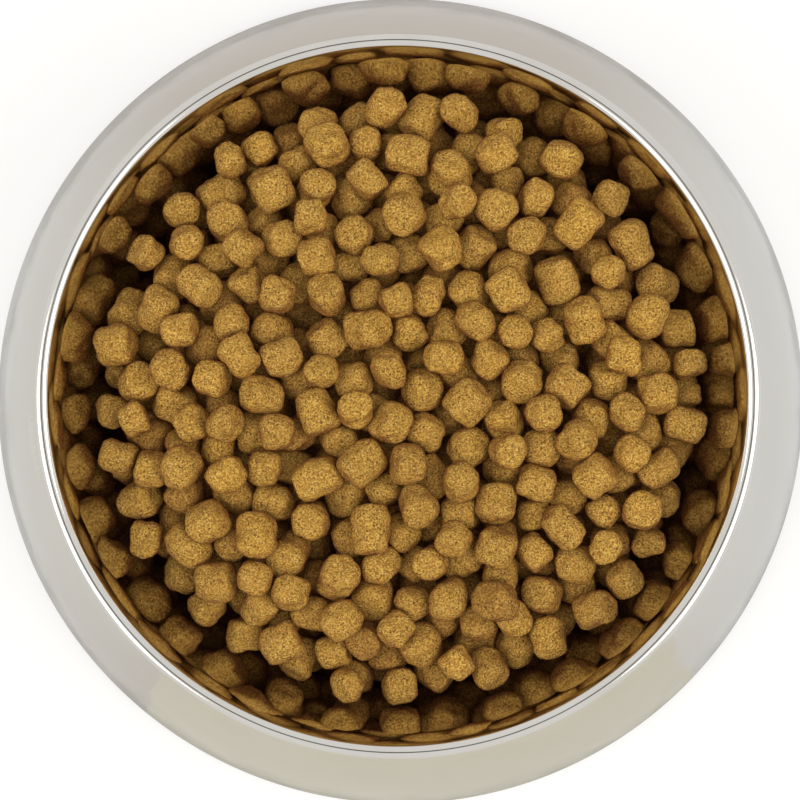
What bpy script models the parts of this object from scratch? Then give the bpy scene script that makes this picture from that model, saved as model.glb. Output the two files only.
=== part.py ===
"""A wide-based steel feeding bowl with a heap of dry kibble. Metres, +Z up, base centre at the origin."""

import math
import random

import bmesh
import bpy
import numpy as np
from mathutils import Vector
from mathutils.geometry import delaunay_2d_cdt

MM = 0.001

# The bowl is one pressed sheet: pan, wall that flares to a rolled lip, skirt and turned-in foot.
SHEET = 0.8 * MM
BOWL_HEIGHT = 60.0 * MM
OPENING_RADIUS = 80.0 * MM
BASE_RADIUS = 102.2 * MM
LIP_BEND = 1.8 * MM
LIP_LEAN = math.radians(24.0)
FLARE_BEND = 35.0 * MM
WALL_LEAN = math.radians(12.0)
PAN_FLOOR = 7.5 * MM
PAN_CORNER = 14.0 * MM
FOOT_BEND = 1.6 * MM
FOOT_FLANGE = 4.6 * MM
TURN_STEPS = 60
CORNER_STEPS = 12
FLARE_STEPS = 6

# The rubber ring sits under the turned-in foot and carries the bowl.
RING_INSET = 1.0 * MM
RING_WIDTH = 4.8 * MM
RING_HEIGHT = 2.2 * MM
RING_EDGE = 0.5 * MM
SEAT_GAP = 0.3 * MM

# Each kibble is a short eight-sided cylinder with a chamfer round both ends.
KIBBLE_SMALLEST = 3.9 * MM
KIBBLE_LARGEST = 5.0 * MM
KIBBLE_SHORTEST = 0.78
KIBBLE_LONGEST = 1.12
KIBBLE_CHAMFER = 0.32
KIBBLE_SIDES = 8

# The heap is laid on a height map, one kibble at a time. It falls off towards the wall.
CELL = 0.4 * MM
MAP_MARGIN = 15.0 * MM
OUTSIDE_HEIGHT = 1000.0 * MM
AIR_ROUND = 0.17 * MM
WALL_CLEARANCE = 0.35 * MM
HEAP_FROM_LIP = (12.0 * MM, 18.0 * MM, 26.0 * MM, 46.0 * MM, 80.0 * MM)
HEAP_BELOW_LIP = (22.5 * MM, 18.5 * MM, 15.6 * MM, 13.3 * MM, 12.3 * MM)
DROP_TRIES = 8
ROLL_STEPS = 4
MISSES = 90
SEED = 11
DECIMALS = 8
STEEPEST = 0.001

# What lies open on the heap is loose, and what is tucked in is one bed.
LOOSE_COUNT = 40
LOOSE_SHARE = 0.93
LOOSE_CLEARANCE = 0.45 * MM
PIT_CORNERS = 5
PIT_MARGIN = 0.6 * MM
PIT_DROP = 0.72 * MM
SEEN_LEAST = 40.0 * MM * MM
BED_SIDES = 6
BED_SINK = 0.2
BED_EDGE_DROP = 3.0 * MM
BED_CLEARANCE = 0.5 * MM
BED_STEPS = 30
BED_LEVELS = 3
SKIN_SAMPLES = 14
SAME_PLACE = 0.001 * MM
BED_SCALE = 0.94
PLAIN_SHARE = 0.6
PLAIN_SCALE = 0.86


def remove_all():
    for obj in list(bpy.data.objects):
        bpy.data.objects.remove(obj, do_unlink=True)
    for collection in list(bpy.data.collections):
        bpy.data.collections.remove(collection)


def collection_named(name, for_helpers=False):
    made = bpy.data.collections.new(name)
    made.hide_render = for_helpers
    bpy.context.scene.collection.children.link(made)
    return made


def material_named(name, colour, metallic, roughness):
    made = bpy.data.materials.new(name)
    made.use_nodes = True
    shader = made.node_tree.nodes["Principled BSDF"]
    shader.inputs["Base Color"].default_value = (*colour, 1.0)
    shader.inputs["Metallic"].default_value = metallic
    shader.inputs["Roughness"].default_value = roughness
    return made


def object_from(name, points, faces, home, material=None):
    mesh = bpy.data.meshes.new(name)
    mesh.from_pydata([tuple(p) for p in points], [], [tuple(f) for f in faces])
    mesh.validate()
    made = bpy.data.objects.new(name, mesh)
    home.objects.link(made)
    if material:
        mesh.materials.append(material)
    return made


def arc(centre, radius, start, end, steps):
    """Points on a circle of the (r, z) plane, from one angle to another."""
    turns = [start + (end - start) * k / steps for k in range(steps + 1)]
    return [(centre[0] + radius * math.cos(t), centre[1] + radius * math.sin(t)) for t in turns]


def bowl_face(corner_steps=4, flare_steps=3):
    """The face that is seen, from the middle of the pan over the lip to the end of the foot."""
    lip = (OPENING_RADIUS + LIP_BEND * math.cos(LIP_LEAN), BOWL_HEIGHT - LIP_BEND)
    foot = (BASE_RADIUS - FOOT_BEND, RING_HEIGHT + SEAT_GAP + FOOT_BEND)
    across = FLARE_BEND - LIP_BEND
    flare = (lip[0] + across * math.cos(LIP_LEAN), lip[1] - across * math.sin(LIP_LEAN))
    wall = (flare[0] - FLARE_BEND * math.cos(WALL_LEAN), flare[1] + FLARE_BEND * math.sin(WALL_LEAN))
    wall_height = wall[1] - PAN_FLOOR - PAN_CORNER * (1 - math.sin(WALL_LEAN))
    corner_r = wall[0] - wall_height * math.tan(WALL_LEAN) - PAN_CORNER * math.cos(WALL_LEAN)
    span = (foot[0] - lip[0], foot[1] - lip[1])
    skirt = math.atan2(span[1], span[0]) + math.acos((LIP_BEND - FOOT_BEND) / math.hypot(*span))
    face = [(0.0, PAN_FLOOR)]
    face += arc((corner_r, PAN_FLOOR + PAN_CORNER), PAN_CORNER, -math.pi / 2, -WALL_LEAN, corner_steps)
    face += arc(flare, FLARE_BEND, math.pi - WALL_LEAN, math.pi - LIP_LEAN, flare_steps)
    face += arc(lip, LIP_BEND, math.pi - LIP_LEAN, math.pi / 2, 3)[1:]
    face += arc(lip, LIP_BEND, math.pi / 2, skirt, 3)[1:]
    face += arc(foot, FOOT_BEND, skirt, 0.0, 1)
    face += arc(foot, FOOT_BEND, 0.0, -math.pi / 2, 3)[1:]
    face += [(foot[0] - FOOT_FLANGE, foot[1] - FOOT_BEND)]
    return face


def turned(name, profile, closed, home, material, steps=TURN_STEPS):
    """A profile in the XZ plane swept round the Z axis."""
    count = len(profile)
    mesh = bpy.data.meshes.new(name)
    edges = [(k, (k + 1) % count) for k in range(count if closed else count - 1)]
    mesh.from_pydata([(r, 0.0, z) for r, z in profile], edges, [])
    made = bpy.data.objects.new(name, mesh)
    home.objects.link(made)
    mesh.materials.append(material)
    sweep = made.modifiers.new("sweep", "SCREW")
    sweep.axis = "Z"
    sweep.angle = 2 * math.pi
    sweep.steps = steps
    sweep.render_steps = steps
    sweep.use_merge_vertices = True
    sweep.merge_threshold = 0.00001
    sweep.use_smooth_shade = False
    return made


def make_bowl(home, material):
    made = turned("bowl", bowl_face(), False, home, material)
    wall = made.modifiers.new("sheet", "SOLIDIFY")
    wall.thickness = SHEET
    wall.offset = -1.0
    wall.use_even_offset = True
    return made


def make_ring(home, material):
    outer = BASE_RADIUS - RING_INSET
    inner = outer - RING_WIDTH
    section = [
        (inner + RING_EDGE, 0.0),
        (outer - RING_EDGE, 0.0),
        (outer, RING_EDGE),
        (outer, RING_HEIGHT),
        (inner, RING_HEIGHT),
        (inner, RING_EDGE),
    ]
    made = turned("foot_ring", section, True, home, material)
    made.modifiers["sweep"].use_normal_flip = True
    return made


def pan_face(clearance):
    """The pan's inner face, moved into the pan by a clearance, as radius and height."""
    corner = np.linspace(-math.pi / 2, -WALL_LEAN, CORNER_STEPS + 1)
    flare = np.linspace(-WALL_LEAN, -LIP_LEAN, FLARE_STEPS + 1)
    turns = np.concatenate([corner[:1], corner, flare])
    face = np.array(bowl_face(CORNER_STEPS, FLARE_STEPS)[: len(turns)])
    return face - clearance * np.stack([np.cos(turns), np.sin(turns)], axis=1)


def heap_top(radius):
    """The highest that a kibble's middle may lie at a distance from the bowl's axis."""
    return BOWL_HEIGHT - np.interp(OPENING_RADIUS - radius, HEAP_FROM_LIP, HEAP_BELOW_LIP)


def random_turn(rng):
    """A rotation matrix with no favoured direction."""
    first, second, third = rng.random(), rng.random(), rng.random()
    low, high = math.sqrt(1.0 - first), math.sqrt(first)
    x = low * math.sin(2 * math.pi * second)
    y = low * math.cos(2 * math.pi * second)
    z = high * math.sin(2 * math.pi * third)
    w = high * math.cos(2 * math.pi * third)
    return np.array(
        [
            [1 - 2 * (y * y + z * z), 2 * (x * y - z * w), 2 * (x * z + y * w)],
            [2 * (x * y + z * w), 1 - 2 * (x * x + z * z), 2 * (y * z - x * w)],
            [2 * (x * z - y * w), 2 * (y * z + x * w), 1 - 2 * (x * x + y * y)],
        ]
    )


def kibble_planes(radius, half_length):
    """The kibble's faces as outward normals and distances from its middle."""
    flat = radius * math.cos(math.pi / KIBBLE_SIDES)
    chamfer = KIBBLE_CHAMFER * radius
    slant = math.sqrt(0.5)
    normals = [(0.0, 0.0, 1.0), (0.0, 0.0, -1.0)]
    distances = [half_length, half_length]
    for k in range(KIBBLE_SIDES):
        turn = 2 * math.pi * (k + 0.5) / KIBBLE_SIDES
        x, y = math.cos(turn), math.sin(turn)
        normals.append((x, y, 0.0))
        distances.append(flat)
        for end in (-1.0, 1.0):
            normals.append((x * slant, y * slant, end * slant))
            distances.append((flat + half_length - chamfer) * slant)
    return np.array(normals), np.array(distances)


def patch_of(normals, distances):
    """A kibble's upper and lower surface over a square of cells, about its middle."""
    longest = KIBBLE_LARGEST * math.hypot(1.0, KIBBLE_LONGEST)
    reach = int(math.ceil(longest / CELL))
    steps = np.arange(-reach, reach + 1) * CELL
    x, y = np.meshgrid(steps, steps, indexing="ij")
    rise = np.where(np.abs(normals[:, 2]) < STEEPEST, STEEPEST, normals[:, 2])
    level = distances[:, None, None] - normals[:, 0, None, None] * x - normals[:, 1, None, None] * y
    level = level / rise[:, None, None]
    over = level[rise > 0].min(axis=0)
    under = level[rise < 0].max(axis=0)
    outside = over <= under
    over[outside] = -np.inf
    under[outside] = np.inf
    return over, under, reach


def resting_height(height, under, i, j):
    """How high a kibble's middle lies when it rests on what is below, rounded to be the same everywhere."""
    wide = len(under)
    return round(float((height[i : i + wide, j : j + wide] - under).max()), DECIMALS)


def rolled(height, under, i, j):
    """A kibble's resting height and cell after it has rolled downhill from a cell."""
    best = (resting_height(height, under, i, j), i, j)
    stride = ROLL_STEPS
    while stride:
        around = []
        for a in (-stride, 0, stride):
            for b in (-stride, 0, stride):
                p, q = best[1] + a, best[2] + b
                around.append((resting_height(height, under, p, q), p, q))
        lowest = min(around)
        if lowest[0] < best[0]:
            best = lowest
        else:
            stride //= 2
    return best


def pan_map():
    """The height map of the empty pan, and the number of the cell on its axis."""
    middle = int(math.ceil((OPENING_RADIUS + MAP_MARGIN) / CELL))
    steps = np.arange(-middle, middle + 1) * CELL
    x, y = np.meshgrid(steps, steps, indexing="ij")
    radius = np.hypot(x, y)
    pan = pan_face(WALL_CLEARANCE)
    height = np.interp(radius, pan[:, 0], pan[:, 1])
    height[radius > pan[-1, 0]] = OUTSIDE_HEIGHT
    return height, middle


def lay_heap():
    """Kibbles laid one at a time until the heap is full, and how much of each is open above."""
    rng = random.Random(SEED)
    height, middle = pan_map()
    owner = np.full(height.shape, -1)
    laid = []
    missed = 0
    while missed < MISSES:
        size = rng.uniform(KIBBLE_SMALLEST, KIBBLE_LARGEST)
        kibble = {"radius": size, "half": size * rng.uniform(KIBBLE_SHORTEST, KIBBLE_LONGEST)}
        normals, distances = kibble_planes(kibble["radius"], kibble["half"])
        best = None
        for _ in range(DROP_TRIES):
            turn = random_turn(rng)
            over, under, reach = patch_of(normals @ turn.T, distances + AIR_ROUND)
            axis = middle - reach
            far = (OPENING_RADIUS - KIBBLE_LARGEST) * math.sqrt(rng.random())
            way = 2 * math.pi * rng.random()
            i = int(round(far * math.cos(way) / CELL)) + axis
            j = int(round(far * math.sin(way) / CELL)) + axis
            rest, i, j = rolled(height, under, i, j)
            place = ((i - axis) * CELL, (j - axis) * CELL, rest)
            excess = round(rest - float(heap_top(math.hypot(place[0], place[1]))), DECIMALS)
            if best is None or excess < best[0]:
                best = (excess, place, turn, over, i, j)
        if best[0] > 0:
            missed += 1
            continue
        missed = 0
        _, place, turn, over, i, j = best
        wide = len(over)
        window = height[i : i + wide, j : j + wide]
        crown = over + place[2]
        above = crown > window
        owner[i : i + wide, j : j + wide][above] = len(laid)
        window[above] = crown[above]
        kibble.update(at=np.array(place), turn=turn, cells=int(np.isfinite(over).sum()))
        laid.append(kibble)
    seen = np.bincount(owner[owner >= 0], minlength=len(laid))
    for kibble, cells in zip(laid, seen):
        kibble["seen"] = cells * CELL * CELL
        kibble["share"] = cells / kibble["cells"]
    return laid


def kibble_mesh(kibble, sides=KIBBLE_SIDES, scale=1.0, chamfered=True):
    """Points and faces of a kibble, from a cylinder whose end rims are chamfered."""
    form = bmesh.new()
    bmesh.ops.create_cone(
        form,
        cap_ends=True,
        segments=sides,
        radius1=kibble["radius"],
        radius2=kibble["radius"],
        depth=2 * kibble["half"],
    )
    rims = [e for e in form.edges if abs(e.verts[0].co.z - e.verts[1].co.z) < SAME_PLACE]
    if chamfered:
        bmesh.ops.bevel(
            form,
            geom=rims,
            offset=KIBBLE_CHAMFER * kibble["radius"],
            offset_type="OFFSET",
            segments=1,
            affect="EDGES",
        )
    form.verts.index_update()
    points = np.array([v.co for v in form.verts]) * scale
    points = points @ kibble["turn"].T + kibble["at"]
    faces = [[v.index for v in f.verts] for f in form.faces]
    form.free()
    return points, faces


def skin_over(bed, loose):
    """The bed's upper skin: through the middles of the bed's kibbles, and under the loose ones."""
    corners = []
    for kibble in bed:
        x, y, z = kibble["at"]
        corners.append((x, y, z - BED_SINK * kibble["radius"]))
    for kibble in loose:
        x, y, z = kibble["at"]
        points, _ = kibble_mesh(kibble)
        pit = points[:, 2].min() - PIT_DROP
        wide = np.hypot(points[:, 0] - x, points[:, 1] - y).max() + PIT_MARGIN
        for k in range(PIT_CORNERS):
            turn = 2 * math.pi * (k + 0.5) / PIT_CORNERS
            corners.append((x + wide * math.cos(turn), y + wide * math.sin(turn), pit))
    pan = pan_face(BED_CLEARANCE)
    edge_z = BOWL_HEIGHT - HEAP_BELOW_LIP[0] - BED_EDGE_DROP
    edge_r = float(np.interp(edge_z, pan[:, 1], pan[:, 0]))
    inside = [c for c in corners if math.hypot(c[0], c[1]) < edge_r - PIT_MARGIN]
    rim = []
    for k in range(BED_STEPS):
        turn = 2 * math.pi * k / BED_STEPS
        rim.append((edge_r * math.cos(turn), edge_r * math.sin(turn), edge_z))
    corners = rim + inside
    flat = [Vector((c[0], c[1])) for c in corners]
    loop = [(k, (k + 1) % BED_STEPS) for k in range(BED_STEPS)]
    verts, _, faces, came_from, _, _ = delaunay_2d_cdt(flat, loop, [], 1, SAME_PLACE)
    points = [(v.x, v.y, corners[came_from[n][0]][2]) for n, v in enumerate(verts)]
    return np.array(points), [list(f) for f in faces], (edge_r, edge_z)


def too_near(kibble, samples):
    normals, distances = kibble_planes(kibble["radius"], kibble["half"])
    normals = normals @ kibble["turn"].T
    outside = (samples - kibble["at"]) @ normals.T - distances
    return outside.max(axis=1).min() < LOOSE_CLEARANCE


def samples_of(points, faces):
    """Points spread over each triangle of the skin."""
    weights = []
    for a in range(SKIN_SAMPLES + 1):
        for b in range(SKIN_SAMPLES + 1 - a):
            weights.append((a, b, SKIN_SAMPLES - a - b))
    corners = points[np.array(faces)]
    return np.einsum("wk,fkx->fwx", np.array(weights) / SKIN_SAMPLES, corners).reshape(-1, 3)


def lift(kibble):
    """How far a kibble's middle lies over the heap's top there. Below it, the value is negative."""
    x, y, z = kibble["at"]
    return z - heap_top(math.hypot(x, y))


def sort_heap(laid):
    """The loose kibbles, and the bed's kibbles and skin, with no loose kibble too near the skin."""
    seen = [k for k in laid if k["seen"] > SEEN_LEAST]
    waiting = sorted((k for k in seen if k["share"] > LOOSE_SHARE), key=lift, reverse=True)
    loose = []
    while True:
        wanted = LOOSE_COUNT - len(loose)
        loose += waiting[:wanted]
        waiting = waiting[wanted:]
        kept = {id(k) for k in loose}
        bed = [k for k in seen if id(k) not in kept]
        points, faces, edge = skin_over(bed, loose)
        samples = samples_of(points, faces)
        clear = [k for k in loose if not too_near(k, samples)]
        if len(clear) == len(loose):
            return loose, bed, points, faces, edge
        loose = clear


def make_bed(bed, points, faces, edge, home, helpers, material):
    """A fill between the skin and the pan, joined with the bed's kibbles."""
    levels = [p for p in pan_face(BED_CLEARANCE)[1::BED_LEVELS] if p[1] < edge[1]]
    corners = [tuple(p) for p in points]
    step = 2 * math.pi / BED_STEPS
    order = {}
    for n, p in enumerate(corners):
        if abs(math.hypot(p[0], p[1]) - edge[0]) < SAME_PLACE:
            order[round(math.atan2(p[1], p[0]) / step) % BED_STEPS] = n
    above = [order[k] for k in range(BED_STEPS)]
    shell = [list(f) for f in faces]
    for r, z in reversed(levels):
        first = len(corners)
        for k in range(BED_STEPS):
            corners.append((r * math.cos(k * step), r * math.sin(k * step), z))
        below = list(range(first, first + BED_STEPS))
        for k in range(BED_STEPS):
            after = (k + 1) % BED_STEPS
            shell.append([above[k], below[k], below[after], above[after]])
        above = below
    shell.append(list(reversed(above)))
    made = object_from("kibble_bed", corners, shell, home, material)
    form = bmesh.new()
    form.from_mesh(made.data)
    bmesh.ops.recalc_face_normals(form, faces=form.faces)
    form.to_mesh(made.data)
    form.free()
    joined, joined_faces = [], []
    for kibble in bed:
        open_above = kibble["share"] > PLAIN_SHARE
        scale = BED_SCALE if open_above else PLAIN_SCALE
        own, own_faces = kibble_mesh(kibble, BED_SIDES, scale, open_above)
        joined_faces += [[n + len(joined) for n in f] for f in own_faces]
        joined += [tuple(p) for p in own]
    lumps = object_from("bed_kibbles", joined, joined_faces, helpers)
    lumps.hide_render = True
    lumps.display_type = "WIRE"
    union = made.modifiers.new("kibbles", "BOOLEAN")
    union.operation = "UNION"
    union.solver = "EXACT"
    union.use_self = True
    union.object = lumps
    return made


def main():
    remove_all()
    home = collection_named("filled_pet_food_bowl")
    helpers = collection_named("cutters", for_helpers=True)
    steel = material_named("steel", (0.62, 0.60, 0.56), 1.0, 0.22)
    rubber = material_named("rubber", (0.02, 0.02, 0.02), 0.0, 0.7)
    bed_kibble = material_named("bed_kibble", (0.26, 0.13, 0.03), 0.0, 0.85)
    loose_kibble = material_named("loose_kibble", (0.30, 0.16, 0.04), 0.0, 0.85)
    make_bowl(home, steel)
    make_ring(home, rubber)
    laid = lay_heap()
    loose, bed, points, faces, edge = sort_heap(laid)
    make_bed(bed, points, faces, edge, home, helpers, bed_kibble)
    for n, kibble in enumerate(loose):
        own, own_faces = kibble_mesh(kibble)
        object_from(f"loose_kibble_{n + 1:02d}", own, own_faces, home, loose_kibble)
    print("kibbles laid", len(laid), "in the bed", len(bed), "loose", len(loose))


main()
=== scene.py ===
# %% [markdown]
# # A steel feeding bowl filled with dry kibble
#
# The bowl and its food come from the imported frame: a fixed model with the real sizes.
# This lesson dresses that model. Each step first says what the piece is, then makes it.

import math
import random

import bmesh
import bpy
import numpy as np
from mathutils import Matrix, Vector


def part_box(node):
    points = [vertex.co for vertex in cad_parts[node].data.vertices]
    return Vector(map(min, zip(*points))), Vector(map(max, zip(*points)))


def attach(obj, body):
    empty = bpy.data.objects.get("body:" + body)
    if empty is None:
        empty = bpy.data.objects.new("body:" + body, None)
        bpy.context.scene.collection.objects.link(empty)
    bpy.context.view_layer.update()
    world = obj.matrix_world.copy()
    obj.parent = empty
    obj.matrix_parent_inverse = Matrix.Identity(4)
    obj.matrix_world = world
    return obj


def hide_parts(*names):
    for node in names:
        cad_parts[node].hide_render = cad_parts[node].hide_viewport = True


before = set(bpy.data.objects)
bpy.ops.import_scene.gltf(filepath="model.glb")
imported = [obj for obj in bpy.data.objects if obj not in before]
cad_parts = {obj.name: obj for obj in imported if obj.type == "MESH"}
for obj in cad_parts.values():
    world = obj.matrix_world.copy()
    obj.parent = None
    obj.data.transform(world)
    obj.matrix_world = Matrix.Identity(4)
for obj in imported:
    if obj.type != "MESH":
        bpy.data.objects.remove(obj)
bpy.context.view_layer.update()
MM = 0.001

# %% [markdown]
# ## The camera
#
# The photograph looks almost straight down. The round opening and the round base show as two circles
# whose centres differ, and that offset tells where the lens was: half a metre above the lip and a little
# to one side. A camera aimed by hand would miss this, and the skirt would show the same width all round.

# %% Place the camera
BOWL_LOW, BOWL_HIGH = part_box("bowl")
LIP_HEIGHT = BOWL_HIGH[2]
CAMERA_AT = Vector((6.8 * MM, -11.0 * MM, LIP_HEIGHT + 500.0 * MM))
LENS = 98.5
SENSOR_WIDTH = 36.0
NEAREST_SEEN = 0.01


def make_camera():
    data = bpy.data.cameras.new("camera")
    data.lens = LENS
    data.sensor_width = SENSOR_WIDTH
    data.clip_start = NEAREST_SEEN
    camera = bpy.data.objects.new("camera", data)
    bpy.context.scene.collection.objects.link(camera)
    back = CAMERA_AT.normalized()
    right = Vector((0.0, 1.0, 0.0)).cross(back).normalized()
    up = back.cross(right)
    camera.matrix_world = Matrix.Translation(CAMERA_AT) @ Matrix((right, up, back)).transposed().to_4x4()
    bpy.context.scene.camera = camera
    return camera


camera = make_camera()
print(camera.name, "at", [round(v, 4) for v in CAMERA_AT])

# %% [markdown]
# ## Short words for shader nodes
#
# Materials here are built from nodes in code. One small helper makes a node, fills its inputs and joins
# its links, so that each material below reads as a list of what happens to the surface.


# %% Node helpers
def fill(tree, socket, value):
    """An input set to a value, or joined to the output that feeds it."""
    if isinstance(value, bpy.types.NodeSocket):
        tree.links.new(value, socket)
    else:
        socket.default_value = value


def node(tree, kind, settings=None, **inputs):
    """A node of the tree, with its inputs filled by name, or by number as i0, i1 and so on."""
    made = tree.nodes.new(kind)
    for name, value in (settings or {}).items():
        setattr(made, name, value)
    for name, value in inputs.items():
        numbered = name[0] == "i" and name[1:].isdigit()
        key = int(name[1:]) if numbered else name.replace("_", " ")
        fill(tree, made.inputs[key], value)
    return made


def maths(tree, operation, first, second=0.0):
    made = node(tree, "ShaderNodeMath", {"operation": operation}, i0=first, i1=second)
    return made.outputs[0]


def plus(tree, first, second):
    return maths(tree, "ADD", first, second)


def times(tree, first, second):
    return maths(tree, "MULTIPLY", first, second)


def ramp(tree, value, low, high, to_low=0.0, to_high=1.0):
    """A value mapped from one range to another, and held at its ends."""
    made = node(
        tree, "ShaderNodeMapRange", {"interpolation_type": "SMOOTHSTEP"},
        Value=value, From_Min=low, From_Max=high, To_Min=to_low, To_Max=to_high,
    )
    return made.outputs["Result"]


def mixed(tree, share, first, second, blend="MIX"):
    """Two colours, mixed or blended another way by a share from 0 to 1."""
    made = node(tree, "ShaderNodeMix", {"data_type": "RGBA", "blend_type": blend})
    # Inputs 6 and 7 of this node are its two colours, and output 2 is the colour it gives.
    for number, value in ((0, share), (6, first), (7, second)):
        fill(tree, made.inputs[number], value)
    return made.outputs[2]


def place_in_mm(tree):
    """The place on the object, in millimetres."""
    place = node(tree, "ShaderNodeTexCoord").outputs["Object"]
    scaled = node(tree, "ShaderNodeVectorMath", {"operation": "SCALE"}, Vector=place, Scale=1.0 / MM)
    return scaled.outputs[0]


def place_parts(tree):
    """The x, y and z of the place on the object, in metres."""
    place = node(tree, "ShaderNodeTexCoord").outputs["Object"]
    return node(tree, "ShaderNodeSeparateXYZ", Vector=place).outputs


def material(name, **settings):
    """A material with one Principled BSDF, and its tree and shader."""
    made = bpy.data.materials.new(name)
    made.use_nodes = True
    shader = made.node_tree.nodes["Principled BSDF"]
    for key, value in settings.items():
        shader.inputs[key.replace("_", " ")].default_value = value
    return made, made.node_tree, shader


def group(name, inputs, outputs):
    """An empty shader node group with named sockets."""
    made = bpy.data.node_groups.new(name, "ShaderNodeTree")
    for label, kind, value in inputs:
        socket = made.interface.new_socket(name=label, in_out="INPUT", socket_type=kind)
        socket.default_value = value
    for label, kind in outputs:
        made.interface.new_socket(name=label, in_out="OUTPUT", socket_type=kind)
    entry = made.nodes.new("NodeGroupInput")
    leave = made.nodes.new("NodeGroupOutput")
    return made, entry, leave


print("helpers ready")

# %% [markdown]
# ## Grain, shared by every surface
#
# Steel, rubber and kibble all need a fine irregular grain, only at other sizes. One node group makes it
# from the object's own coordinates, measured in millimetres, so that it keeps its scale on every piece
# and needs no unwrapping. It gives a coarse value, a fine value and a height for bump.


# %% The grain group
COARSE_HEIGHT = 0.6
FINE_HEIGHT = 0.4


def grain_group():
    tree, entry, leave = group(
        "surface_grain",
        [("Coarse per mm", "NodeSocketFloat", 0.3), ("Fine per mm", "NodeSocketFloat", 2.0)],
        [("Coarse", "NodeSocketFloat"), ("Fine", "NodeSocketFloat"), ("Height", "NodeSocketFloat")],
    )
    in_mm = place_in_mm(tree)
    coarse = node(
        tree, "ShaderNodeTexNoise",
        Vector=in_mm, Scale=entry.outputs["Coarse per mm"], Detail=3.0, Roughness=0.55,
    )
    fine = node(
        tree, "ShaderNodeTexNoise",
        Vector=in_mm, Scale=entry.outputs["Fine per mm"], Detail=4.0, Roughness=0.6,
    )
    low_lumps = times(tree, coarse.outputs[0], COARSE_HEIGHT)
    height = plus(tree, low_lumps, times(tree, fine.outputs[0], FINE_HEIGHT))
    tree.links.new(coarse.outputs[0], leave.inputs["Coarse"])
    tree.links.new(fine.outputs[0], leave.inputs["Fine"])
    tree.links.new(height, leave.inputs["Height"])
    return tree


GRAIN = grain_group()


def grain(tree, coarse, fine):
    """The outputs of the shared grain, with its two sizes given as bumps for each millimetre."""
    made = node(tree, "ShaderNodeGroup", {"node_tree": GRAIN})
    made.inputs["Coarse per mm"].default_value = coarse
    made.inputs["Fine per mm"].default_value = fine
    return made.outputs


print("group", GRAIN.name)

# %% [markdown]
# ## Polished pressed steel
#
# The bowl is one sheet, deep drawn and then polished on a wheel. It mirrors what stands near it: the pan
# shows the kibble, drawn out into streaks, and the skirt shows the floor round it. A perfect mirror would
# look like chrome on glass, so the polish leaves faint turned lines, a shallow waviness and a few dull
# specks. The pan is polished further than the skirt, and the skirt is painted darker towards its foot, a
# painted shade for the shadowed floor that it mirrors there. A knock has left a short row of flecks at the
# top of the skirt, on the left, and their brighter colour is a painted highlight for the glints they catch.

# %% Colours and marks of the steel
STEEL_GLANCE = (0.775, 0.75, 0.705, 1.0)
SKIRT_DARK = (0.605, 0.580, 0.535, 1.0)
SKIRT_LIGHT = (0.635, 0.612, 0.57, 1.0)
SKIRT_PAINTED_SHADE = (0.51, 0.484, 0.440, 1.0)
PAN_COLOUR = (0.69, 0.665, 0.655, 1.0)
PAN_ENDS = (0.0788, 0.0798)
PAN_ROUGHNESS = 0.45
PAINTED_SHADE_HEIGHT = (0.056, 0.004)
LINES_PER_METRE = 2600.0
LINES_PER_RADIAN = 1.5
SCUFF_GLINT_COLOUR = (0.76, 0.74, 0.71, 1.0)
SCUFF_ANGLE = -3.02
SCUFF_HALF_ANGLE = 0.26
SCUFF_RADIUS = 0.0855
SCUFF_HALF_WIDTH = 0.0030


def turned_lines(tree, angle, radius, height):
    """Noise drawn out round the axis, as a polishing wheel leaves it."""
    place = node(
        tree, "ShaderNodeCombineXYZ",
        X=times(tree, angle, LINES_PER_RADIAN),
        Y=times(tree, radius, LINES_PER_METRE),
        Z=times(tree, height, LINES_PER_METRE),
    )
    return node(tree, "ShaderNodeTexNoise", Vector=place.outputs[0], Scale=1.0, Detail=2.0).outputs[0]


def scuff_flecks(tree, angle, radius, fine):
    """1 on the flecks of the scuff and 0 elsewhere, fading out at its ends."""
    around = maths(tree, "ABSOLUTE", maths(tree, "SUBTRACT", angle, SCUFF_ANGLE))
    across = maths(tree, "ABSOLUTE", maths(tree, "SUBTRACT", radius, SCUFF_RADIUS))
    near = times(
        tree, ramp(tree, around, SCUFF_HALF_ANGLE, 0.0), ramp(tree, across, SCUFF_HALF_WIDTH, 0.0),
    )
    marks = plus(tree, fine, times(tree, near, 0.16))
    return times(tree, ramp(tree, marks, 0.64, 0.76), ramp(tree, near, 0.05, 0.6))


# %% The steel finish
def steel_colour(tree, worn, outside, height, flecks):
    tint = mixed(tree, ramp(tree, worn["Coarse"], 0.3, 0.7), SKIRT_DARK, SKIRT_LIGHT)
    # painted shade: the skirt darkens towards its foot, where it mirrors the shadowed floor
    painted_shade = times(tree, ramp(tree, height, *PAINTED_SHADE_HEIGHT), outside)
    tint = mixed(tree, painted_shade, tint, SKIRT_PAINTED_SHADE)
    tint = mixed(tree, outside, PAN_COLOUR, tint)
    # the scuff is a real mark; its brighter colour is a painted highlight for the glints it catches
    return mixed(tree, flecks, tint, SCUFF_GLINT_COLOUR)


def steel_roughness(tree, worn, outside, lines):
    speck = ramp(tree, worn["Fine"], 0.69, 0.74)
    dull = plus(tree, times(tree, lines, 0.05), times(tree, speck, 0.16))
    cloud = ramp(tree, worn["Coarse"], 0.35, 0.7, 0.06, 0.11)
    return times(tree, plus(tree, dull, cloud), ramp(tree, outside, 0.0, 1.0, PAN_ROUGHNESS, 1.0))


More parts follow.
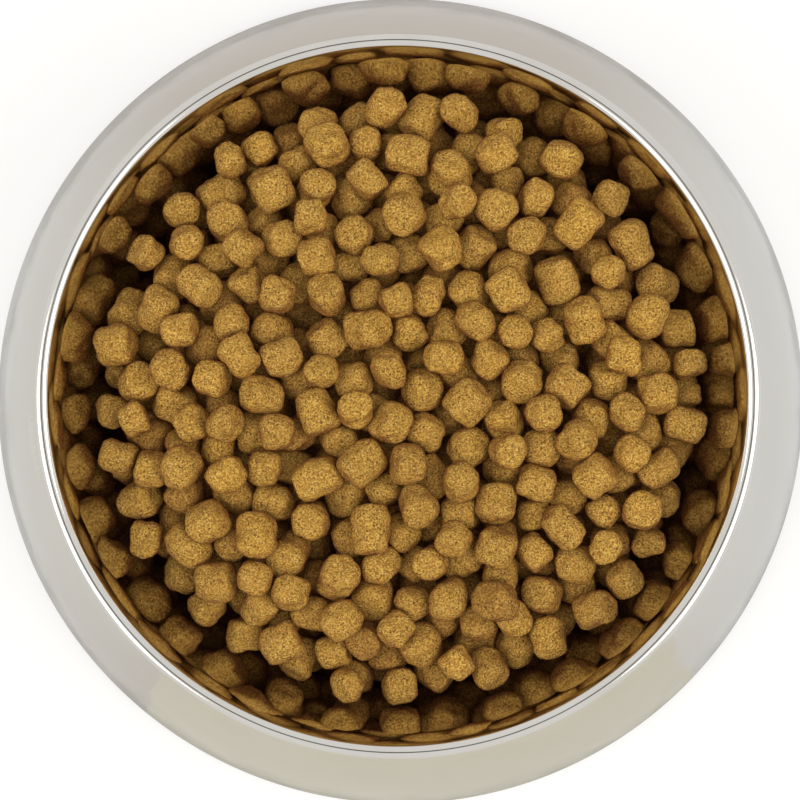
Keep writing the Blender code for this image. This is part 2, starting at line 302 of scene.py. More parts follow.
def steel_material():
    made, tree, shader = material("polished_steel", Metallic=1.0, Specular_Tint=STEEL_GLANCE)
    x, y, z = place_parts(tree)
    flat = node(tree, "ShaderNodeCombineXYZ", X=x, Y=y).outputs[0]
    radius = node(tree, "ShaderNodeVectorMath", {"operation": "LENGTH"}, Vector=flat).outputs["Value"]
    angle = maths(tree, "ARCTAN2", y, x)
    outside = ramp(tree, radius, *PAN_ENDS)
    lines = turned_lines(tree, angle, radius, z)
    worn = grain(tree, 0.06, 1.3)
    flecks = scuff_flecks(tree, angle, radius, worn["Fine"])
    tree.links.new(steel_roughness(tree, worn, outside, lines), shader.inputs["Roughness"])
    tree.links.new(steel_colour(tree, worn, outside, z, flecks), shader.inputs["Base Color"])
    wave = node(tree, "ShaderNodeBump", Strength=0.10, Distance=0.00004, Height=worn["Coarse"])
    scored = node(
        tree, "ShaderNodeBump",
        Strength=0.12, Distance=0.000012, Height=lines, Normal=wave.outputs[0],
    )
    tree.links.new(scored.outputs[0], shader.inputs["Normal"])
    return made


STEEL = steel_material()
print("material", STEEL.name)

# %% [markdown]
# ## Rubber for the foot ring
#
# The ring under the foot is moulded black rubber. It is matt, with a faint grain and a little pale dust
# that the floor leaves on it.


# %% The rubber finish
RUBBER_CLEAN = (0.012, 0.012, 0.013, 1.0)
RUBBER_DUSTY = (0.055, 0.052, 0.048, 1.0)


def rubber_material():
    made, tree, shader = material("black_rubber", Specular_IOR_Level=0.35)
    worn = grain(tree, 0.25, 3.0)
    dust = ramp(tree, worn["Coarse"], 0.45, 0.75, 0.0, 0.5)
    tree.links.new(mixed(tree, dust, RUBBER_CLEAN, RUBBER_DUSTY), shader.inputs["Base Color"])
    tree.links.new(ramp(tree, worn["Fine"], 0.2, 0.8, 0.55, 0.8), shader.inputs["Roughness"])
    bump = node(tree, "ShaderNodeBump", Strength=0.4, Distance=0.0001, Height=worn["Height"])
    tree.links.new(bump.outputs[0], shader.inputs["Normal"])
    return made


RUBBER = rubber_material()
print("material", RUBBER.name)

# %% [markdown]
# ## Baked kibble
#
# Kibble is puffed dough, cut as it leaves a die and then dried. Its crust is sandy: ochre crumbs, paler
# grains of meal, and dark pores where steam came out. Its sides are painted darker and redder than its
# top, as painted shade. Each kibble bakes a little lighter or darker than the next, and a kibble tucked in
# between others is given painted shade on top of that. Both are stored on the mesh as one number per
# kibble, because a few hundred kibbles share one mesh and one material. The deepest gaps would be black
# here, so a very faint glow is painted light that lifts them.

# %% Colours of the kibble
CRUST_DARK = (0.245, 0.110, 0.016, 1.0)
CRUST_LIGHT = (0.66, 0.410, 0.082, 1.0)
CRUST_CLOUD = (0.38, 0.205, 0.035, 1.0)
MEAL_COLOUR = (0.86, 0.64, 0.24, 1.0)
PORE_COLOUR = (0.10, 0.036, 0.006, 1.0)
PAINTED_GLOW_COLOUR = (0.5, 0.2, 0.1, 1.0)
PAINTED_GLOW = 0.007
SIDE_PAINTED_SHADE = (0.62, 0.44, 0.42, 1.0)
MORE_BAKED_AND_SHADED = (0.60, 0.50, 0.46, 1.0)
LESS_BAKED = (1.10, 1.10, 1.04, 1.0)
USUAL_TONE = 0.45


def crumb_marks(tree):
    """Where the pale grains of meal lie, and where the pores do."""
    in_mm = place_in_mm(tree)
    crumb = node(tree, "ShaderNodeTexVoronoi", Vector=in_mm, Scale=1.9, Randomness=1.0).outputs
    pore = node(tree, "ShaderNodeTexVoronoi", Vector=in_mm, Scale=1.3, Randomness=1.0).outputs
    meal = node(tree, "ShaderNodeSeparateColor", Color=crumb["Color"]).outputs[1]
    pale = times(tree, ramp(tree, meal, 0.62, 0.8), ramp(tree, crumb["Distance"], 0.48, 0.16))
    chosen = node(tree, "ShaderNodeSeparateColor", Color=pore["Color"]).outputs[0]
    pore_size = ramp(tree, chosen, 0.25, 1.0, 0.0, 0.30)
    beyond = ramp(tree, maths(tree, "SUBTRACT", pore["Distance"], pore_size), -0.05, 0.10)
    return pale, maths(tree, "SUBTRACT", 1.0, beyond)


# %% The kibble finish
def kibble_colour(tree, worn, pale, hole):
    """The crust's colour, with painted shade on the sides and on tucked-in kibbles, and baked lighter or
    darker at random.
    """
    crust = mixed(tree, ramp(tree, worn["Fine"], 0.37, 0.68), CRUST_DARK, CRUST_LIGHT)
    crust = mixed(tree, ramp(tree, worn["Coarse"], 0.35, 0.65, 0.0, 0.35), crust, CRUST_CLOUD)
    crust = mixed(tree, times(tree, pale, 0.6), crust, MEAL_COLOUR)
    crust = mixed(tree, times(tree, hole, 0.55), crust, PORE_COLOUR)
    facing = node(tree, "ShaderNodeNewGeometry").outputs["Normal"]
    upward = node(tree, "ShaderNodeSeparateXYZ", Vector=facing).outputs[2]
    # painted shade: faces that turn away from the sky are darker and redder than the top
    crust = mixed(tree, ramp(tree, upward, 0.75, 0.0), crust, SIDE_PAINTED_SHADE, "MULTIPLY")
    tone_and_shade = node(tree, "ShaderNodeAttribute", {"attribute_name": "tone_and_shade"}).outputs["Fac"]
    # darker for a high number: baked darker at random, and painted shade on tucked-in kibbles
    crust = mixed(tree, ramp(tree, tone_and_shade, USUAL_TONE, 1.25), crust, MORE_BAKED_AND_SHADED, "MULTIPLY")
    return mixed(tree, ramp(tree, tone_and_shade, USUAL_TONE, 0.0), crust, LESS_BAKED, "MULTIPLY")


def kibble_material():
    # the faint emission is painted light, a glow that lifts the deepest gaps out of black
    made, tree, shader = material(
        "baked_kibble", Specular_IOR_Level=0.25, Emission_Color=PAINTED_GLOW_COLOUR, Emission_Strength=PAINTED_GLOW,
    )
    worn = grain(tree, 0.35, 2.0)
    pale, hole = crumb_marks(tree)
    tree.links.new(kibble_colour(tree, worn, pale, hole), shader.inputs["Base Color"])
    tree.links.new(ramp(tree, worn["Fine"], 0.3, 0.7, 0.88, 0.66), shader.inputs["Roughness"])
    height = plus(tree, worn["Fine"], times(tree, pale, 0.25))
    height = maths(tree, "SUBTRACT", height, times(tree, hole, 0.9))
    bump = node(tree, "ShaderNodeBump", Strength=1.0, Distance=0.0004, Height=height)
    tree.links.new(bump.outputs[0], shader.inputs["Normal"])
    return made


KIBBLE = kibble_material()
print("material", KIBBLE.name)

# %% [markdown]
# ## The bowl
#
# The CAD bowl is turned in sixty steps, which is plenty for its size but shows corners on a polished lip.
# The same section is swept again here in many more steps and with finer arcs. The section has only the
# points that its shape needs: pan corner, leaning wall, rolled lip, skirt and turned-in foot.

# %% Sizes of the bowl
RING_LOW, RING_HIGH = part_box("foot_ring")
SHEET = 0.8 * MM
BOWL_HEIGHT = 60.0 * MM
OPENING_RADIUS = 80.0 * MM
BASE_RADIUS = 102.2 * MM
LIP_BEND = 1.8 * MM
LIP_LEAN = math.radians(24.0)
FLARE_BEND = 35.0 * MM
WALL_LEAN = math.radians(12.0)
PAN_FLOOR = 7.5 * MM
PAN_CORNER = 14.0 * MM
FOOT_BEND = 1.6 * MM
FOOT_FLANGE = 4.6 * MM
FOOT_UNDERSIDE = BOWL_LOW[2]
BOWL_STEPS = 288
MERGE_WITHIN = 0.00001
frame_width = round((BOWL_HIGH[0] - BOWL_LOW[0]) / MM, 2)
print("the frame's bowl is", frame_width, "mm wide, and here", round(2 * BASE_RADIUS / MM, 2))


# %% The bowl's section
def arc(centre, radius, start, end, steps):
    """Points on a circle of the (r, z) plane, from one angle to another."""
    turns = [start + (end - start) * k / steps for k in range(steps + 1)]
    return [(centre[0] + radius * math.cos(t), centre[1] + radius * math.sin(t)) for t in turns]


def bowl_face(corner_steps=12, flare_steps=12, lip_steps=16):
    """The face that is seen, from the middle of the pan over the lip to the end of the foot."""
    lip = (OPENING_RADIUS + LIP_BEND * math.cos(LIP_LEAN), BOWL_HEIGHT - LIP_BEND)
    foot = (BASE_RADIUS - FOOT_BEND, FOOT_UNDERSIDE + FOOT_BEND)
    across = FLARE_BEND - LIP_BEND
    flare = (lip[0] + across * math.cos(LIP_LEAN), lip[1] - across * math.sin(LIP_LEAN))
    wall = (flare[0] - FLARE_BEND * math.cos(WALL_LEAN), flare[1] + FLARE_BEND * math.sin(WALL_LEAN))
    wall_height = wall[1] - PAN_FLOOR - PAN_CORNER * (1 - math.sin(WALL_LEAN))
    corner_r = wall[0] - wall_height * math.tan(WALL_LEAN) - PAN_CORNER * math.cos(WALL_LEAN)
    span = (foot[0] - lip[0], foot[1] - lip[1])
    skirt = math.atan2(span[1], span[0]) + math.acos((LIP_BEND - FOOT_BEND) / math.hypot(*span))
    face = [(0.0, PAN_FLOOR)]
    face += arc((corner_r, PAN_FLOOR + PAN_CORNER), PAN_CORNER, -math.pi / 2, -WALL_LEAN, corner_steps)
    face += arc(flare, FLARE_BEND, math.pi - WALL_LEAN, math.pi - LIP_LEAN, flare_steps)
    face += arc(lip, LIP_BEND, math.pi - LIP_LEAN, math.pi / 2, lip_steps)[1:]
    face += arc(lip, LIP_BEND, math.pi / 2, skirt, lip_steps)[1:]
    face += arc(foot, FOOT_BEND, skirt, 0.0, 1)
    face += arc(foot, FOOT_BEND, 0.0, -math.pi / 2, lip_steps)[1:]
    face += [(foot[0] - FOOT_FLANGE, foot[1] - FOOT_BEND)]
    return face


def turned(name, profile, closed, finish, steps):
    """A profile in the XZ plane swept round the Z axis, with smooth shading."""
    count = len(profile)
    mesh = bpy.data.meshes.new(name)
    edges = [(k, (k + 1) % count) for k in range(count if closed else count - 1)]
    mesh.from_pydata([(r, 0.0, z) for r, z in profile], edges, [])
    made = bpy.data.objects.new(name, mesh)
    bpy.context.scene.collection.objects.link(made)
    mesh.materials.append(finish)
    sweep = made.modifiers.new("sweep", "SCREW")
    sweep.axis = "Z"
    sweep.angle = 2 * math.pi
    sweep.steps = steps
    sweep.render_steps = steps
    sweep.use_merge_vertices = True
    sweep.merge_threshold = MERGE_WITHIN
    sweep.use_smooth_shade = True
    return made


# %% Sweep the bowl
def make_bowl():
    made = turned("pressed_bowl", bowl_face(), False, STEEL, BOWL_STEPS)
    wall = made.modifiers.new("sheet", "SOLIDIFY")
    wall.thickness = SHEET
    wall.offset = -1.0
    wall.use_even_offset = True
    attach(made, "root")
    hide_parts("bowl")
    return made


bowl = make_bowl()
print("bowl section points", len(bowl_face()))

# %% [markdown]
# ## The foot ring
#
# The ring is a plain moulded band with rounded edges and two shallow grooves underneath, which let it
# grip. It sits under the turned-in foot, a little inside the skirt, so from above it can't be seen.

# %% Sweep the ring
RING_EDGE = 0.5 * MM
GROOVE = 0.5 * MM
RING_WIDTH = 4.8 * MM
RING_STEPS = 192


def ring_section(inner, outer, height):
    section = []
    for centre, start in (
        ((outer - RING_EDGE, RING_EDGE), -math.pi / 2),
        ((outer - RING_EDGE, height - RING_EDGE), 0.0),
        ((inner + RING_EDGE, height - RING_EDGE), math.pi / 2),
        ((inner + RING_EDGE, RING_EDGE), math.pi),
    ):
        section += arc(centre, RING_EDGE, start, start + math.pi / 2, 4)
    for share in (1 / 3, 2 / 3):
        middle = inner + (outer - inner) * share
        section += [(middle - GROOVE, 0.0), (middle, GROOVE), (middle + GROOVE, 0.0)]
    return section


def make_foot_ring():
    outer = RING_HIGH[0]
    section = ring_section(outer - RING_WIDTH, outer, RING_HIGH[2])
    made = turned("rubber_foot_ring", section, True, RUBBER, RING_STEPS)
    made.modifiers["sweep"].use_normal_flip = True
    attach(made, "root")
    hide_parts("foot_ring")
    return made


foot_ring = make_foot_ring()
print("ring outer radius", round(RING_HIGH[0] / MM, 2), "mm")

# %% [markdown]
# ## Laying the heap
#
# A heap of kibble looks right only if the pieces really lie on each other. A physics run could drop them,
# but it is slow and hard to repeat. This rule is quicker: keep a height map of the pan, drop one kibble at
# a random place, let it roll to the lowest place nearby, and add its top to the map. The frame's own
# kibbles were laid by the same rule from the same seed, so each one here lies where its solid lies.

# %% Sizes of the kibble
KIBBLE_SMALLEST = 3.9 * MM
KIBBLE_LARGEST = 5.0 * MM
KIBBLE_SHORTEST = 0.78
KIBBLE_LONGEST = 1.12
KIBBLE_CHAMFER = 0.32
KIBBLE_SIDES = 8
CELL = 0.4 * MM
MAP_MARGIN = 15.0 * MM
OUTSIDE_HEIGHT = 1000.0 * MM
AIR_ROUND = 0.17 * MM
WALL_CLEARANCE = 0.35 * MM
HEAP_FROM_LIP = (12.0 * MM, 18.0 * MM, 26.0 * MM, 46.0 * MM, 80.0 * MM)
HEAP_BELOW_LIP = (22.5 * MM, 18.5 * MM, 15.6 * MM, 13.3 * MM, 12.3 * MM)
DROP_TRIES = 8
ROLL_STEPS = 4
MISSES = 90
SEED = 11
DECIMALS = 8
STEEPEST = 0.001
CORNER_STEPS = 12
FLARE_STEPS = 6


def pan_face(clearance):
    """The pan's inner face, moved into the pan by a clearance, as radius and height."""
    corner = np.linspace(-math.pi / 2, -WALL_LEAN, CORNER_STEPS + 1)
    flare = np.linspace(-WALL_LEAN, -LIP_LEAN, FLARE_STEPS + 1)
    turns = np.concatenate([corner[:1], corner, flare])
    face = np.array(bowl_face(CORNER_STEPS, FLARE_STEPS)[: len(turns)])
    return face - clearance * np.stack([np.cos(turns), np.sin(turns)], axis=1)


def heap_top(radius):
    """The highest that a kibble's middle may lie at a distance from the bowl's axis."""
    return BOWL_HEIGHT - np.interp(OPENING_RADIUS - radius, HEAP_FROM_LIP, HEAP_BELOW_LIP)


print("kibbles are", 2 * KIBBLE_SMALLEST / MM, "to", 2 * KIBBLE_LARGEST / MM, "mm thick")


# %% One kibble as planes
def random_turn(rng):
    """A rotation matrix with no favoured direction."""
    first, second, third = rng.random(), rng.random(), rng.random()
    low, high = math.sqrt(1.0 - first), math.sqrt(first)
    x = low * math.sin(2 * math.pi * second)
    y = low * math.cos(2 * math.pi * second)
    z = high * math.sin(2 * math.pi * third)
    w = high * math.cos(2 * math.pi * third)
    return np.array(
        [
            [1 - 2 * (y * y + z * z), 2 * (x * y - z * w), 2 * (x * z + y * w)],
            [2 * (x * y + z * w), 1 - 2 * (x * x + z * z), 2 * (y * z - x * w)],
            [2 * (x * z - y * w), 2 * (y * z + x * w), 1 - 2 * (x * x + y * y)],
        ]
    )


def kibble_planes(radius, half_length):
    """The kibble's faces as outward normals and distances from its middle."""
    flat = radius * math.cos(math.pi / KIBBLE_SIDES)
    chamfer = KIBBLE_CHAMFER * radius
    slant = math.sqrt(0.5)
    normals = [(0.0, 0.0, 1.0), (0.0, 0.0, -1.0)]
    distances = [half_length, half_length]
    for k in range(KIBBLE_SIDES):
        turn = 2 * math.pi * (k + 0.5) / KIBBLE_SIDES
        x, y = math.cos(turn), math.sin(turn)
        normals.append((x, y, 0.0))
        distances.append(flat)
        for end in (-1.0, 1.0):
            normals.append((x * slant, y * slant, end * slant))
            distances.append((flat + half_length - chamfer) * slant)
    return np.array(normals), np.array(distances)


def patch_of(normals, distances):
    """A kibble's upper and lower surface over a square of cells, about its middle."""
    longest = KIBBLE_LARGEST * math.hypot(1.0, KIBBLE_LONGEST)
    reach = int(math.ceil(longest / CELL))
    steps = np.arange(-reach, reach + 1) * CELL
    x, y = np.meshgrid(steps, steps, indexing="ij")
    rise = np.where(np.abs(normals[:, 2]) < STEEPEST, STEEPEST, normals[:, 2])
    level = distances[:, None, None] - normals[:, 0, None, None] * x - normals[:, 1, None, None] * y
    level = level / rise[:, None, None]
    over = level[rise > 0].min(axis=0)
    under = level[rise < 0].max(axis=0)
    outside = over <= under
    over[outside] = -np.inf
    under[outside] = np.inf
    return over, under, reach


# %% Lay all kibbles
def resting_height(height, under, i, j):
    """How high a kibble's middle lies when it rests on what is below, rounded to be repeatable."""
    wide = len(under)
    return round(float((height[i : i + wide, j : j + wide] - under).max()), DECIMALS)


def rolled(height, under, i, j):
    """A kibble's resting height and cell after it has rolled downhill from a cell."""
    best = (resting_height(height, under, i, j), i, j)
    stride = ROLL_STEPS
    while stride:
        around = []
        for a in (-stride, 0, stride):
            for b in (-stride, 0, stride):
                p, q = best[1] + a, best[2] + b
                around.append((resting_height(height, under, p, q), p, q))
        lowest = min(around)
        if lowest[0] < best[0]:
            best = lowest
        else:
            stride //= 2
    return best


def pan_map():
    """The height map of the empty pan, and the number of the cell on its axis."""
    middle = int(math.ceil((OPENING_RADIUS + MAP_MARGIN) / CELL))
    steps = np.arange(-middle, middle + 1) * CELL
    x, y = np.meshgrid(steps, steps, indexing="ij")
    radius = np.hypot(x, y)
    pan = pan_face(WALL_CLEARANCE)
    height = np.interp(radius, pan[:, 0], pan[:, 1])
    height[radius > pan[-1, 0]] = OUTSIDE_HEIGHT
    return height, middle


def lay_heap():
    """Kibbles laid one at a time until the heap is full, and how much of each is open above."""
    rng = random.Random(SEED)
    height, middle = pan_map()
    owner = np.full(height.shape, -1)
    laid = []
    missed = 0
    while missed < MISSES:
        size = rng.uniform(KIBBLE_SMALLEST, KIBBLE_LARGEST)
        kibble = {"radius": size, "half": size * rng.uniform(KIBBLE_SHORTEST, KIBBLE_LONGEST)}
        normals, distances = kibble_planes(kibble["radius"], kibble["half"])
        best = None
        for _ in range(DROP_TRIES):
            turn = random_turn(rng)
            over, under, reach = patch_of(normals @ turn.T, distances + AIR_ROUND)
            axis = middle - reach
            far = (OPENING_RADIUS - KIBBLE_LARGEST) * math.sqrt(rng.random())
            way = 2 * math.pi * rng.random()
            i = int(round(far * math.cos(way) / CELL)) + axis
            j = int(round(far * math.sin(way) / CELL)) + axis
            rest, i, j = rolled(height, under, i, j)
            place = ((i - axis) * CELL, (j - axis) * CELL, rest)
            excess = round(rest - float(heap_top(math.hypot(place[0], place[1]))), DECIMALS)
            if best is None or excess < best[0]:
                best = (excess, place, turn, over, i, j)
        if best[0] > 0:
            missed += 1
            continue
        missed = 0
        _, place, turn, over, i, j = best
        wide = len(over)
        window = height[i : i + wide, j : j + wide]
        crown = over + place[2]
        above = crown > window
        owner[i : i + wide, j : j + wide][above] = len(laid)
        window[above] = crown[above]
        kibble.update(at=np.array(place), turn=turn, cells=int(np.isfinite(over).sum()))
        laid.append(kibble)
    seen = np.bincount(owner[owner >= 0], minlength=len(laid))
    for kibble, cells in zip(laid, seen):
        kibble["seen"] = cells * CELL * CELL
        kibble["share"] = cells / kibble["cells"]
    return laid


heap = lay_heap()
print("kibbles laid", len(heap), "and seen from above", sum(k["seen"] > 0 for k in heap))

# %% [markdown]
# ## Shaping one kibble
#
# A kibble starts as a ball of even triangles. Pushing each point out to a rounded cylinder gives the cut
# ends and the round sides, and a sum of a few random waves gives the lumps of puffed dough. A real
# sculpt would do for one hero piece, but hundreds are needed, each a little different, so a formula wins.


# %% Balls to start from
def unit_ball(subdivisions):
    form = bmesh.new()
    bmesh.ops.create_icosphere(form, subdivisions=subdivisions, radius=1.0)
    points = np.array([v.co[:] for v in form.verts])
    faces = np.array([[v.index for v in f.verts] for f in form.faces])
    form.free()
    return points, faces


BALLS = {"fine": unit_ball(4), "plain": unit_ball(3)}
print({name: len(faces) for name, (_, faces) in BALLS.items()}, "triangles a kibble")

# %% The kibble's form
PUFF = 1.01
SQUARENESS = (2.5, 5.2)
WIDTH_RANGE = (0.95, 1.04)
DEPTH_RANGE = (0.92, 1.02)
LENGTH_RANGE = (0.92, 1.15)
TAPER = 0.07
BEND = 0.05
LUMPS = ((7.0 * MM, 0.20 * MM, 10), (3.2 * MM, 0.10 * MM, 10), (1.6 * MM, 0.045 * MM, 14))


def waves(points, rng, length, height, count):
    """A sum of random waves through space, as a height for each point."""
    total = np.zeros(len(points))
    for _ in range(count):
        way = random_turn(rng)[0]
        total += np.sin(points @ way * (2 * math.pi / length) + rng.uniform(0, 2 * math.pi))
    return total * height / math.sqrt(count / 2)


def kibble_form(kibble, ball, rng):
    """The points of one kibble, in place."""
    squareness = rng.uniform(*SQUARENESS)
    wide = kibble["radius"] * PUFF * rng.uniform(*WIDTH_RANGE)
    deep = kibble["radius"] * PUFF * rng.uniform(*DEPTH_RANGE)
    half = kibble["half"] * PUFF * rng.uniform(*LENGTH_RANGE)
    girth = np.hypot(ball[:, 0] / wide, ball[:, 1] / deep)
    reach = (girth**squareness + np.abs(ball[:, 2] / half) ** squareness) ** (-1.0 / squareness)
    points = ball * reach[:, None]
    taper = 1.0 + rng.uniform(-TAPER, TAPER) * points[:, 2] / half
    points[:, :2] *= taper[:, None]
    points[:, 0] += rng.uniform(-BEND, BEND) * points[:, 2] ** 2 / half
    lumps = sum(waves(points, rng, *lump) for lump in LUMPS)
    points += ball * lumps[:, None]
    return points @ kibble["turn"].T + kibble["at"]


# %% Many kibbles as one mesh
def kibble_object(name, kibbles, detail, rng):
    ball, faces = BALLS[detail]
    points, corners, tones = [], [], []
    for n, kibble in enumerate(kibbles):
        points.append(kibble_form(kibble, ball, rng))
        corners.append(faces + n * len(ball))
        tones.append(np.full(len(ball), kibble["tone_and_shade"]))
    mesh = bpy.data.meshes.new(name)
    mesh.from_pydata(np.concatenate(points).tolist(), [], np.concatenate(corners).tolist())
    mesh.polygons.foreach_set("use_smooth", [True] * len(mesh.polygons))
    tone_and_shade = mesh.attributes.new("tone_and_shade", "FLOAT", "POINT")
    tone_and_shade.data.foreach_set("value", np.concatenate(tones))
    mesh.materials.append(KIBBLE)
    made = bpy.data.objects.new(name, mesh)
    bpy.context.scene.collection.objects.link(made)
    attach(made, "root")
    return made


print("kibble form ready")

# %% [markdown]
# ## Matching the kibbles to the frame
#
# The frame holds the top kibbles as loose solids and the others as one bed. A kibble belongs to a loose
# solid when its middle lies in the middle of that solid's box. Each loose kibble becomes a piece of its
# own, so that it can be lifted off, and the rest become a few large meshes that stand for the bed. A
# kibble that is tucked in between others gets a darker tone, a painted shade that gives the heap its depth.


# %% Sort the kibbles
TONE_SEED = 5
TONE_MIDDLE = 0.36
TONE_SPREAD = 0.19
TUCKED_IN_PAINTED_SHADE = 0.60


def solid_middle(name):
    low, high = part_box(name)
    return np.array([(a + b) / 2 for a, b in zip(low, high)])


loose_names = sorted(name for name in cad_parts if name.startswith("loose_kibble"))
taste = random.Random(TONE_SEED)
for kibble in heap:
    tucked_in = 1.0 - kibble["share"]
    # painted shade: the less of a kibble is open above, the darker it is made
    tone_and_shade = taste.gauss(TONE_MIDDLE, TONE_SPREAD) + TUCKED_IN_PAINTED_SHADE * tucked_in
    kibble["tone_and_shade"] = min(1.0, max(0.0, tone_and_shade))
loose, furthest = {}, 0.0
for name in loose_names:
    middle = solid_middle(name)
    nearest = min(heap, key=lambda k: float(np.abs(k["at"] - middle).max()))
    furthest = max(furthest, float(np.abs(nearest["at"] - middle).max()))
    loose[name] = nearest
print("loose solids", len(loose), "furthest from its kibble", round(furthest / MM, 3), "mm")

# %% Make the loose kibbles
LUMP_SEED = 21
lumpy = random.Random(LUMP_SEED)
for name, kibble in loose.items():
    piece = kibble_object("top_" + name[6:], [kibble], "fine", lumpy)
    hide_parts(name)

# %% Make the bed
BED_SHARE = 130
taken = {id(k) for k in loose.values()}
shown = [k for k in heap if id(k) not in taken and k["seen"] > 0]
hidden = [k for k in heap if id(k) not in taken and k["seen"] == 0]
batches = [(shown[n : n + BED_SHARE], "fine") for n in range(0, len(shown), BED_SHARE)]
batches += [(hidden[n : n + 2 * BED_SHARE], "plain") for n in range(0, len(hidden), 2 * BED_SHARE)]
for n, (kibbles, detail) in enumerate(batches):
    piece = kibble_object(f"bed_kibbles_{n + 1}", kibbles, detail, lumpy)
    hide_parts("kibble_bed")
    print(piece.name, len(kibbles), "kibbles,", len(piece.data.polygons), "triangles")

# %% [markdown]
# ## Floor, lamps and surroundings
#
# The photograph is a product shot on white. Two soft lamps stand left and right, high enough to reach
# into the bowl, and the white room fills the rest. Straight above the bowl is darker, where the camera
# stands: the rounded lip mirrors that place as a thin dark line. The floor is white paper. A share of plain
# white is added to it for what the camera and the steel see, so that it stays white, and its shadow stays.
#
# The leaning skirt mirrors more than paper, so painted light and shade lie on the floor for mirrored rays
# alone: a warm painted light with a ragged edge in front of the bowl, where both lamps reach, painted shade
# behind it, and cool painted light on both sides. The camera sees plain white there.

# %% Painted light and shade that the skirt mirrors
WHITE = (1.0, 1.0, 1.0, 1.0)
PAINTED_SHADE_BEHIND = (0.821, 0.804, 0.788, 1.0)
PAINTED_LIGHT_RIGHT = (1.045, 1.085, 1.138, 1.0)
PAINTED_LIGHT_LEFT = (0.992, 1.012, 1.032, 1.0)
PAINTED_LIGHT_FRONT = (0.929, 0.925, 0.833, 1.0)
RIGHT_FADE = (0.04, 0.115)
LEFT_FADE = (-0.06, -0.115)
FRONT_LIGHT_ANGLE = -1.51
FRONT_LIGHT_EDGE = (0.865, 0.850)
FRONT_LIGHT_RAGGEDNESS = 0.16


def painted_floor_light(tree):
    """Painted light and shade on the floor, for the steel to mirror."""
    x, y, _ = place_parts(tree)
    # painted shade behind the bowl, and cool painted light to the right and left
    colour = mixed(tree, ramp(tree, x, *RIGHT_FADE), PAINTED_SHADE_BEHIND, PAINTED_LIGHT_RIGHT)
    colour = mixed(tree, ramp(tree, x, *LEFT_FADE), colour, PAINTED_LIGHT_LEFT)
    angle = maths(tree, "ARCTAN2", y, x)
    aside = maths(tree, "ABSOLUTE", maths(tree, "SUBTRACT", angle, FRONT_LIGHT_ANGLE))
    ragged = times(tree, grain(tree, 0.08, 0.5)["Coarse"], FRONT_LIGHT_RAGGEDNESS)
    # painted light: a warm patch with a ragged edge in front of the bowl
    front_light = ramp(tree, plus(tree, aside, ragged), *FRONT_LIGHT_EDGE)
    return mixed(tree, front_light, colour, PAINTED_LIGHT_FRONT)


def seen_rays(tree):
    """1 for the rays that see a surface, not those that light it, and 1 for the mirrored ones alone."""
    path = node(tree, "ShaderNodeLightPath").outputs
    seen = maths(tree, "MAXIMUM", path["Is Camera Ray"], path["Is Glossy Ray"])
    return maths(tree, "MAXIMUM", seen, path["Is Transmission Ray"]), path["Is Glossy Ray"]


# %% The white floor
FLOOR_SIZE = 6.0
FLOOR_GAP = 0.0001
PAPER_DULL = (0.94, 0.94, 0.94, 1.0)
PAPER_BRIGHT = (0.96, 0.96, 0.96, 1.0)
WHITE_ADDED = 0.6
WHITE_ADDED_IN_MIRRORS = 0.3


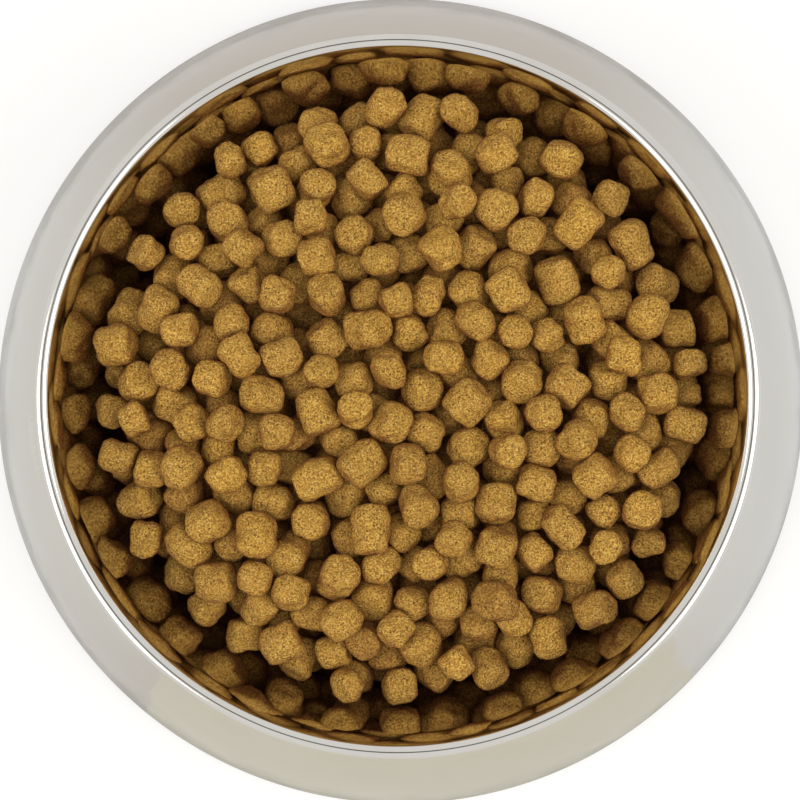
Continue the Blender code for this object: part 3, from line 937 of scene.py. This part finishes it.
def make_floor():
    bpy.ops.mesh.primitive_plane_add(size=FLOOR_SIZE, location=(0.0, 0.0, -FLOOR_GAP))
    floor = bpy.context.object
    floor.name = "paper_floor"
    made, tree, shader = material("white_paper", Roughness=0.9, Specular_IOR_Level=0.1)
    fibre = grain(tree, 0.02, 0.5)["Coarse"]
    tree.links.new(mixed(tree, fibre, PAPER_DULL, PAPER_BRIGHT), shader.inputs["Base Color"])
    seen, glossy = seen_rays(tree)
    # the mirrored rays see the floor's painted light and shade, the camera sees plain white
    colour = mixed(tree, glossy, WHITE, painted_floor_light(tree))
    white = node(tree, "ShaderNodeEmission", Color=colour, Strength=1.0)
    added = plus(tree, WHITE_ADDED, times(tree, glossy, WHITE_ADDED_IN_MIRRORS))
    share = times(tree, seen, added)
    mix = node(tree, "ShaderNodeMixShader", i0=share, i1=shader.outputs[0], i2=white.outputs[0])
    tree.links.new(mix.outputs[0], tree.nodes["Material Output"].inputs["Surface"])
    floor.data.materials.append(made)
    return floor


floor = make_floor()
print("floor", floor.name)


# %% The lamps
LAMP_SIZE = (0.80, 0.65)
LAMP_COLOUR = (1.0, 0.96, 0.86)


def make_lamp(name, at, watts):
    data = bpy.data.lights.new(name, "AREA")
    data.shape = "RECTANGLE"
    data.size, data.size_y = LAMP_SIZE
    data.energy = watts
    data.color = LAMP_COLOUR
    lamp = bpy.data.objects.new(name, data)
    bpy.context.scene.collection.objects.link(lamp)
    lamp.location = at
    lamp.rotation_euler = Vector(at).to_track_quat("Z", "Y").to_euler()
    return lamp


make_lamp("soft_lamp_left", (-0.72, -0.26, 0.80), 5.3)
make_lamp("soft_lamp_right", (0.74, -0.20, 0.80), 6.1)


# %% The room
WALLS_LOW = (0.20, 0.20, 0.20, 1.0)
WALLS_HIGH = (1.05, 1.01, 1.00, 1.0)
WALLS_RISE = (0.35, 0.95)
OVERHEAD = (0.15, 0.15, 0.15, 1.0)
OVERHEAD_EDGE = (0.982, 0.996)


def make_world():
    """White for the rays that see the room, and brighter high up for those that light the bowl."""
    world = bpy.data.worlds.new("white_room")
    bpy.context.scene.world = world
    world.use_nodes = True
    tree = world.node_tree
    surface = tree.nodes["Background"]
    way = node(tree, "ShaderNodeTexCoord").outputs["Generated"]
    upward = node(tree, "ShaderNodeSeparateXYZ", Vector=way).outputs[2]
    walls = mixed(tree, ramp(tree, upward, *WALLS_RISE), WALLS_LOW, WALLS_HIGH)
    white = mixed(tree, ramp(tree, upward, *OVERHEAD_EDGE), WHITE, OVERHEAD)
    seen, _ = seen_rays(tree)
    tree.links.new(mixed(tree, seen, walls, white), surface.inputs["Color"])
    surface.inputs["Strength"].default_value = 1.0
    return world


world = make_world()
bpy.context.scene.view_settings.view_transform = "Standard"
print("world", world.name)

# %% [markdown]
# ## Finish
#
# The dressed model must fill the same box as the solids. The last line brings the scene up to date.

# %% Bring the scene up to date
bpy.context.view_layer.update()
